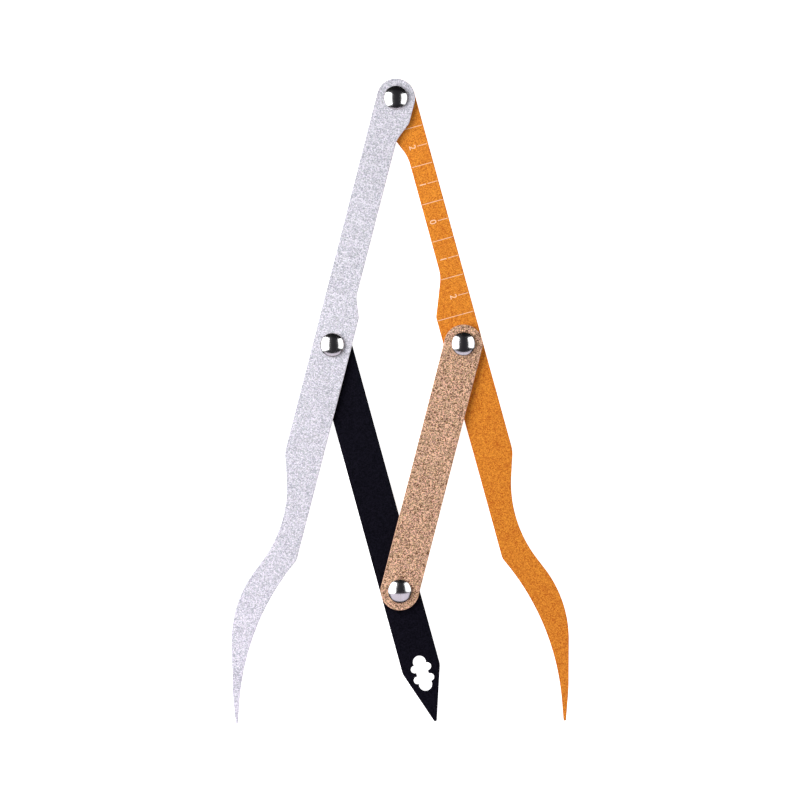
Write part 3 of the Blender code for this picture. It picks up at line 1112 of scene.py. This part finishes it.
    def build(self) -> None:
        """Builds the bleached film that lies in the grooves."""
        arm = self.arm
        height = arm.groove_depth - self.mark_sink
        gaps = 2 * self.mark_side_gap
        marks = [(middle, along, length - gaps, 0) for middle, along, length in self.marks()]
        marks += [(across, along, 0.0, digit) for digit, across, along in self.digits()]
        across, along, lengths, digits = zip(*marks)
        sources = bpy.data.collections.new("digit_sources")
        slabs = [self.digit_slab(digit, height) for digit in range(self.reach_steps + 1)]
        for slab in slabs:
            sources.objects.link(slab)
        mesh = mesh_from_points(
            [(x, -distance, 0.0) for x, distance in zip(across, along)],
            self.tree(),
            {
                "Mark Width": self.mark_width - gaps,
                "Mark Height": height,
                "Digits": sources,
                "Finish": self.finish.material(),
            },
            {LENGTH_ATTRIBUTE: ("FLOAT", lengths), DIGIT_ATTRIBUTE: ("INT", digits)},
        )
        for slab in slabs:
            bpy.data.objects.remove(slab, do_unlink=True)
        bpy.data.collections.remove(sources)
        lift = Matrix.Translation((0, 0, arm.linkage.plate_top(arm.layer) - arm.groove_depth))
        mesh.transform(arm.linkage.place(arm.body) @ lift)
        hand_over(piece_from_mesh(f"{arm.body.value}_scale", mesh), arm.body)


# The rivets


@dataclass
class RivetCaps:
    """The domed caps on one face of the stack: chromed stampings, crimped round their eyelets."""

    layer: Layer
    finish: PlatedSteel
    linkage: Linkage
    height: float
    crown_radius: float
    radius: float = 3.1 * MM
    side_height: float = 0.55 * MM
    shoulder_radius: float = 0.3 * MM
    wall: float = 0.25 * MM
    lip_radius: float = 2.35 * MM
    foot_radius: float = 0.1 * MM
    crown_steps: int = 28
    shoulder_steps: int = 6
    turned_steps: int = 96
    crease: float = math.radians(40)
    # How much of the plating is rubbed off the rim
    rim_wear: float = 0.7

    def shell(self, radius: float, height: float, shoulder: float) -> Outline:
        """The upper part of a shell's profile, from the crown to the side.

        Args:
            radius: the shell's radius.
            height: the height of its crown.
            shoulder: the radius between the crown's curve and the side.

        Returns:
            The points, radius by height.
        """
        reach, rise = radius - self.crown_radius, height - self.side_height
        curve = (reach**2 + rise**2) / (2 * rise)
        centre = Vector((self.crown_radius, height - curve))
        across = reach - shoulder
        bend = Vector((radius - shoulder, centre.y + math.sqrt((curve - shoulder) ** 2 - across**2)))
        meeting = math.atan2(bend.y - centre.y, bend.x - centre.x)
        crown = arc(centre, curve, math.pi / 2, meeting, self.crown_steps)
        return crown + arc(bend, shoulder, meeting, 0.0, self.shoulder_steps)[1:]

    def profile(self) -> Outline:
        """The whole profile of the shell, radius by height, which starts and ends on the axis."""
        outer = self.shell(self.radius, self.height, self.shoulder_radius)
        inner = self.shell(self.radius - self.wall, self.height - self.wall, self.shoulder_radius / 2)
        foot = Vector((self.radius - self.foot_radius, self.foot_radius))
        foot_arc = arc(foot, self.foot_radius, 0.0, -math.pi / 2, self.shoulder_steps)
        lip = [(self.lip_radius, 0.0), (self.lip_radius, self.wall), (self.radius - self.wall, self.wall)]
        profile = outer + foot_arc + [Vector(point) for point in lip] + inner[::-1]
        if self.crown_radius > 0:
            profile = [Vector((0.0, self.height)), *profile, Vector((0.0, self.height - self.wall))]
        return profile

    def source(self) -> Object:
        """Turns one cap about the axis, its base at the origin.

        Returns:
            The cap, which the tree copies to its places.
        """
        cage = bmesh.new()
        worn = cage.verts.layers.float.new(WEAR_ATTRIBUTE)
        profile = [cage.verts.new((point.x, 0.0, point.y)) for point in self.profile()]
        for vertex in profile:
            if vertex.co.x > self.radius - self.foot_radius:
                vertex[worn] = self.rim_wear
        edges = [cage.edges.new(ends) for ends in zip(profile, profile[1:])]
        bmesh.ops.spin(
            cage,
            geom=profile + edges,
            cent=(0.0, 0.0, 0.0),
            axis=(0.0, 0.0, 1.0),
            angle=math.tau,
            steps=self.turned_steps,
            use_merge=True,
        )
        return piece_from_mesh("cap_source", smooth_mesh(cage, "cap_source", self.crease))

    def tree(self) -> Tree:
        """Builds the tree that puts a cap on each point.

        Returns:
            The geometry node tree.
        """
        inputs = {"Guide": "Geometry", "Cap": "Object", "Tilt": "Float", "Finish": "Material"}
        tree, given = new_tree("rivet_caps", inputs, "Caps")
        cap = add_node(tree, "GeometryNodeObjectInfo", {"Object": given["Cap"]}).outputs["Geometry"]
        turn = add_node(tree, "ShaderNodeCombineXYZ", {"X": given["Tilt"]}).outputs[0]
        placed = {"Points": given["Guide"], "Instance": cap, "Rotation": turn}
        caps = add_node(tree, "GeometryNodeInstanceOnPoints", placed).outputs["Instances"]
        return end_tree(tree, caps, given["Finish"])

    def build(self) -> None:
        """Builds the caps of this face, one piece for each body that carries some."""
        word = self.layer.name.lower()
        down = Vector((0, -self.linkage.pivot_pitch, 0))
        base = Vector((0, 0, self.linkage.cap_base(self.layer)))
        carried = {
            Body.ORANGE: {"main_pivot": Vector((0, 0, 0)), "right_pivot": down},
            Body.SILVER: {"left_pivot": down},
            Body.ROSE: {"lower_pivot": down},
        }
        source, tree = self.source(), self.tree()
        tilt = 0.0 if self.layer is Layer.FRONT else math.pi
        values = {"Cap": source, "Tilt": tilt, "Finish": self.finish.material()}
        for body, pivots in carried.items():
            places = [self.linkage.place(body) @ place + base for place in pivots.values()]
            piece = piece_from_mesh(f"{body.value}_{word}_caps", mesh_from_points(places, tree, values))
            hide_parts(*(f"{pivot}_{word}_cap" for pivot in pivots))
            hand_over(piece, body)
        bpy.data.objects.remove(source, do_unlink=True)


@dataclass
class HiddenStampings:
    """The sockets and posts inside the rivets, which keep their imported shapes."""

    finish: PlatedSteel

    def dress(self) -> None:
        """Gives each socket and post its finish."""
        material = self.finish.material()
        for name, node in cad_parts.items():
            if name.endswith(("_socket", "_post")):
                node.data.materials.clear()
                node.data.materials.append(material)
        LOG.info("sockets and posts dressed")


# The studio


@dataclass(frozen=True)
class Softbox:
    """A rectangular light over the tool, turned about Y to face the tool's middle line."""

    name: str
    centre: Triple
    width: float
    length: float
    radiance: float
    tint: str = "#ffffff"
    # How much brighter than its middle the end at the tool's head is, where its lamp sits, and how much
    # darker the other end
    head_gain: float = 0.0
    # The light dies away towards its sides and its ends, over these shares of its width and its length
    side_fade: float = 0.25
    end_fade: float = 0.12

    def build(self) -> None:
        """Builds the light, which no camera sees."""
        lamp = bpy.data.lights.new(self.name, "AREA")
        lamp.shape = "RECTANGLE"
        lamp.size, lamp.size_y = self.width, self.length
        lamp.energy = self.radiance * math.pi * self.width * self.length
        lamp.color = linear(self.tint)[:3]
        lamp.use_nodes = True
        tree = lamp.node_tree
        tree.nodes.clear()
        place = add_node(tree, "ShaderNodeNewGeometry").outputs["Parametric"]
        place = add_node(tree, "ShaderNodeSeparateXYZ", {"Vector": place}).outputs
        gain = ranged(tree, place["Y"], onto=(1 - self.head_gain, 1 + self.head_gain))
        for axis, fade in (("X", self.side_fade), ("Y", self.end_fade)):
            # How far in from the nearer edge, as a share of the light's size
            margin = computed(tree, "PINGPONG", place[axis], 0.5)
            share = ranged(tree, margin, span=(0.0, fade), interpolation_type="SMOOTHSTEP")
            gain = computed(tree, "MULTIPLY", gain, share)
        glow = add_node(tree, "ShaderNodeEmission", {"Strength": gain})
        add_node(tree, "ShaderNodeOutputLight", {"Surface": glow.outputs[0]})
        light = add_object(self.name, lamp)
        light.location = self.centre
        light.rotation_euler.y = math.atan2(self.centre[0], self.centre[2])
        light.visible_camera = False


@dataclass
class Studio:
    """A light table, the softboxes over it, and the camera straight above the tool.

    The room is white to the camera and dark to the metal, as where black cards stand round a light table.
    """

    floor_finish: OpalAcrylic
    floor_width: float = 40.0
    floor_drop: float = 0.01 * MM
    lens: float = 250.0
    # The camera sees this width at this height
    view_width: float = 206.9 * MM
    view_height: float = 3 * MM
    clip_end: float = 50.0
    centre: Pair = (0.45 * MM, -78.15 * MM)
    roll: float = math.radians(-0.47)
    softboxes: tuple[Softbox, ...] = (
        Softbox("left_softbox", (-155 * MM, -26 * MM, 130 * MM), 213 * MM, 317 * MM, 6.0, head_gain=0.12),
        Softbox("right_softbox", (168 * MM, -26 * MM, 118 * MM), 168 * MM, 258 * MM, 2.35, head_gain=0.12),
        Softbox(
            "foot_card",
            (0.0, -212 * MM, 62 * MM),
            300 * MM,
            136 * MM,
            0.9,
            "#e9dfec",
            side_fade=0.1,
            end_fade=0.04,
        ),
        Softbox("ceiling_glow", (0.0, 0.0, 1.5), 4.0, 4.0, 0.018, "#e6dff0"),
        Softbox("room_glow", (0.0, 0.0, 1.6), 20.0, 20.0, 0.008, "#e6dff0"),
    )

    def build_floor(self) -> None:
        """Builds the floor, just under the tool."""
        half = self.floor_width / 2
        corners = [(-half, -half), (half, -half), (half, half), (-half, half)]
        mesh = bpy.data.meshes.new("floor")
        mesh.from_pydata([(x, y, -self.floor_drop) for x, y in corners], [], [(0, 1, 2, 3)])
        mesh.materials.append(self.floor_finish.material())
        floor = piece_from_mesh("floor", mesh)
        floor.visible_glossy = False

    def build_room(self) -> None:
        """Sets the white room, and shows colours as they are."""
        scene = bpy.context.scene
        scene.view_settings.view_transform = "Standard"
        world = bpy.data.worlds.new("room")
        scene.world = world
        world.use_nodes = True
        world.node_tree.nodes["Background"].inputs["Color"].default_value = (1.0, 1.0, 1.0, 1.0)
        world.cycles_visibility.glossy = False
        world.cycles_visibility.diffuse = False

    def build_camera(self) -> None:
        """Builds the camera and sets it as the scene's own."""
        data = bpy.data.cameras.new("camera")
        data.lens = self.lens
        data.clip_end = self.clip_end
        camera = add_object("camera", data)
        distance = self.view_width * self.lens / data.sensor_width
        camera.location = (*self.centre, self.view_height + distance)
        camera.rotation_euler.z = self.roll
        bpy.context.scene.camera = camera

    def build(self) -> None:
        """Builds the whole studio."""
        self.build_room()
        self.build_floor()
        for softbox in self.softboxes:
            softbox.build()
        self.build_camera()
        LOG.info("studio ready")


# Finishes of this tool

# Each anodised finish: its darkest grain (painted facet shade), its lightest grain (painted facet glint) and
# its worn edge
SILVER = AnodisedAluminium("clear_anodised_aluminium", "#9d9ba4", "#f0eef7", "#dcdae2")
ORANGE = AnodisedAluminium(
    "orange_anodised_aluminium", "#c8670c", "#f1a333", "#cc7530", grain_parting=1.3, glint=0.03
)
BLACK = AnodisedAluminium(
    "black_anodised_aluminium", "#01010a", "#191724", "#26232c", grain_parting=1.3, glint=0.02, metallic=0.9
)
ROSE = AnodisedAluminium(
    "rose_gold_anodised_aluminium", "#61371d", "#fad1b0", "#dcae92", grain_parting=1.3, glint=0.12
)
CHROME = PlatedSteel("chrome_plated_steel", "#eeeef0", "#d9d4cb", 0.15, 0.24)
NICKEL = PlatedSteel("nickel_plated_steel", "#c9c5bd", "#a8a295", 0.22, 0.4)
ORANGE_MARK = LaserMark("laser_marked_orange_film", "#ffe2c4", "#f2bc8c")
SILVER_MARK = LaserMark("laser_marked_clear_film", "#e4e2ea", "#d6d4dc")


def main() -> None:
    """Builds the dressed ruler and its studio."""
    logging.basicConfig(level=logging.INFO, format="%(name)s %(message)s")
    linkage = Linkage()
    Studio(OpalAcrylic()).build()
    orange_arm = OuterArm(
        Body.ORANGE,
        Layer.REAR,
        Slot.ORANGE,
        ORANGE,
        linkage,
        inner_side=Side.LEFT,
        neck_depth=4 * MM,
        neck_radius=10 * MM,
        mark_finish=ORANGE_MARK,
    )
    silver_arm = OuterArm(Body.SILVER, Layer.FRONT, Slot.SILVER, SILVER, linkage, mark_finish=SILVER_MARK)
    for arm in (orange_arm, silver_arm):
        arm.build()
        arm.scale.build()
    MiddleArm(Body.BLACK, Layer.REAR, Slot.BLACK, BLACK, linkage).build()
    Link(Body.ROSE, Layer.FRONT, Slot.ROSE, ROSE, linkage).build()
    RivetCaps(Layer.FRONT, CHROME, linkage, height=1.7 * MM, crown_radius=0.0).build()
    RivetCaps(Layer.REAR, CHROME, linkage, height=1.1 * MM, crown_radius=1.6 * MM).build()
    HiddenStampings(NICKEL).dress()


if __name__ == "__main__":
    main()
